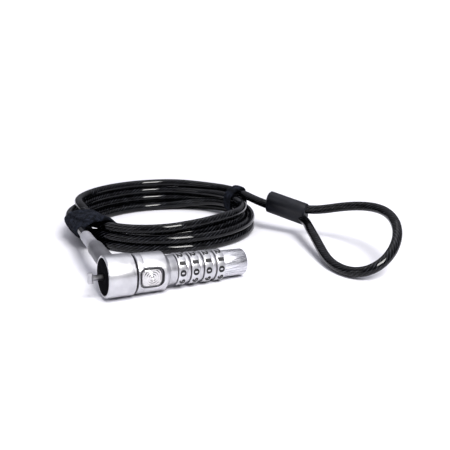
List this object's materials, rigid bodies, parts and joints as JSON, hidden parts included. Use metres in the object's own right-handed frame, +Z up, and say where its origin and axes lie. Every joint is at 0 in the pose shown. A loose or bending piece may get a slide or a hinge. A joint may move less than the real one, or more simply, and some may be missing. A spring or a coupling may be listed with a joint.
{
  "type": "laptop cable lock",
  "caption": "Push-button combination laptop lock with a T-bar for a security slot, a swivelling collar and a coiled steel cable that ends in a crimped anchor loop.",
  "frame": {"origin": "under the middle of the lock head, on the surface that it lies on", "axes": "+X along the lock head from its slot end to its end cap, +Y from the push button through the head to the cable's port, +Z up"},
  "size_m": [0.1753, 0.2086, 0.0287],
  "materials": {
    "satin_zinc": "satin",
    "polished_zinc": "polished",
    "hard_steel": "bright",
    "bronze": "satin",
    "black_rubber": "matte",
    "black_plastic": "satin",
    "grey_boot": "satin",
    "smoky_jacket": "gloss",
    "hook_and_loop": "matte"
  },
  "bodies": {
    "collar": {"collar_shell": "satin_zinc", "collar_liner": "bronze", "cable_anchor": "hard_steel", "boot_grommet": "black_rubber", "strain_relief": "grey_boot", "cable_lead": "smoky_jacket", "cable_coil": "smoky_jacket", "cable_tail": "smoky_jacket", "cable_loop": "smoky_jacket", "crimp_ferrule": "black_plastic", "coil_strap": "hook_and_loop", "coil_tie": "hook_and_loop"},
    "lock_body": {"face_pad": "black_rubber", "nose_sleeve": "hard_steel", "retaining_ring": "black_plastic", "body_housing": "satin_zinc", "button_frame": "satin_zinc", "housing_pin": "hard_steel", "dial_barrel": "hard_steel", "spacer_1": "satin_zinc", "spacer_2": "satin_zinc", "spacer_3": "satin_zinc", "end_cap": "satin_zinc", "end_screw": "hard_steel", "detent_strip": "hard_steel", "detent_ball_1": "hard_steel", "detent_ball_2": "hard_steel", "detent_ball_3": "hard_steel", "detent_ball_4": "hard_steel", "spindle_bushing": "bronze", "torsion_spring": "hard_steel", "button_spring": "hard_steel", "gate_spring": "hard_steel"},
    "dial_1": {"dial_ring_1": "satin_zinc", "code_ring_1": "bronze"},
    "dial_2": {"dial_ring_2": "satin_zinc", "code_ring_2": "bronze"},
    "dial_3": {"dial_ring_3": "satin_zinc", "code_ring_3": "bronze"},
    "dial_4": {"dial_ring_4": "satin_zinc", "code_ring_4": "bronze"},
    "button": {"release_button": "polished_zinc", "button_leg": "hard_steel"},
    "t_bar": {"t_bar_spindle": "polished_zinc", "spindle_cam": "hard_steel"},
    "gate": {"gate_bar": "hard_steel"}
  },
  "joints": [
    {"name": "body_swivel", "type": "hinge", "parent": "collar", "child": "lock_body", "pos_m": [-0.03389, 0, 0.01132], "axis": [0.9986, 0, -0.053], "continuous": true},
    {"name": "dial_1_turn", "type": "hinge", "parent": "lock_body", "child": "dial_1", "pos_m": [0.00385, 0, 0.00932], "axis": [0.9986, 0, -0.053], "continuous": true},
    {"name": "dial_2_turn", "type": "hinge", "parent": "lock_body", "child": "dial_2", "pos_m": [0.01085, 0, 0.00895], "axis": [0.9986, 0, -0.053], "continuous": true},
    {"name": "dial_3_turn", "type": "hinge", "parent": "lock_body", "child": "dial_3", "pos_m": [0.01784, 0, 0.00858], "axis": [0.9986, 0, -0.053], "continuous": true},
    {"name": "dial_4_turn", "type": "hinge", "parent": "lock_body", "child": "dial_4", "pos_m": [0.02482, 0, 0.00821], "axis": [0.9986, 0, -0.053], "continuous": true},
    {"name": "button_press", "type": "slide", "parent": "lock_body", "child": "button", "axis": [0, 1, 0], "range_m": [0, 0.0012], "stiffness_N_per_m": 800, "springref_m": -0.0015, "deforming": ["button_spring"]},
    {"name": "t_bar_turn", "type": "hinge", "parent": "lock_body", "child": "t_bar", "pos_m": [-0.03389, 0, 0.01132], "axis": [0.9986, 0, -0.053], "range_deg": [0, 90], "deforming": ["torsion_spring"]},
    {"name": "gate_shift", "type": "slide", "parent": "lock_body", "child": "gate", "axis": [0.9986, 0, -0.053], "range_m": [0, 0.0012], "deforming": ["gate_spring"]}
  ],
  "couplings": [
    {"joint": "t_bar_turn", "follows": "button_press", "rad_per_m": 1308},
    {"joint": "gate_shift", "follows": "button_press", "ratio": 0.99}
  ]
}
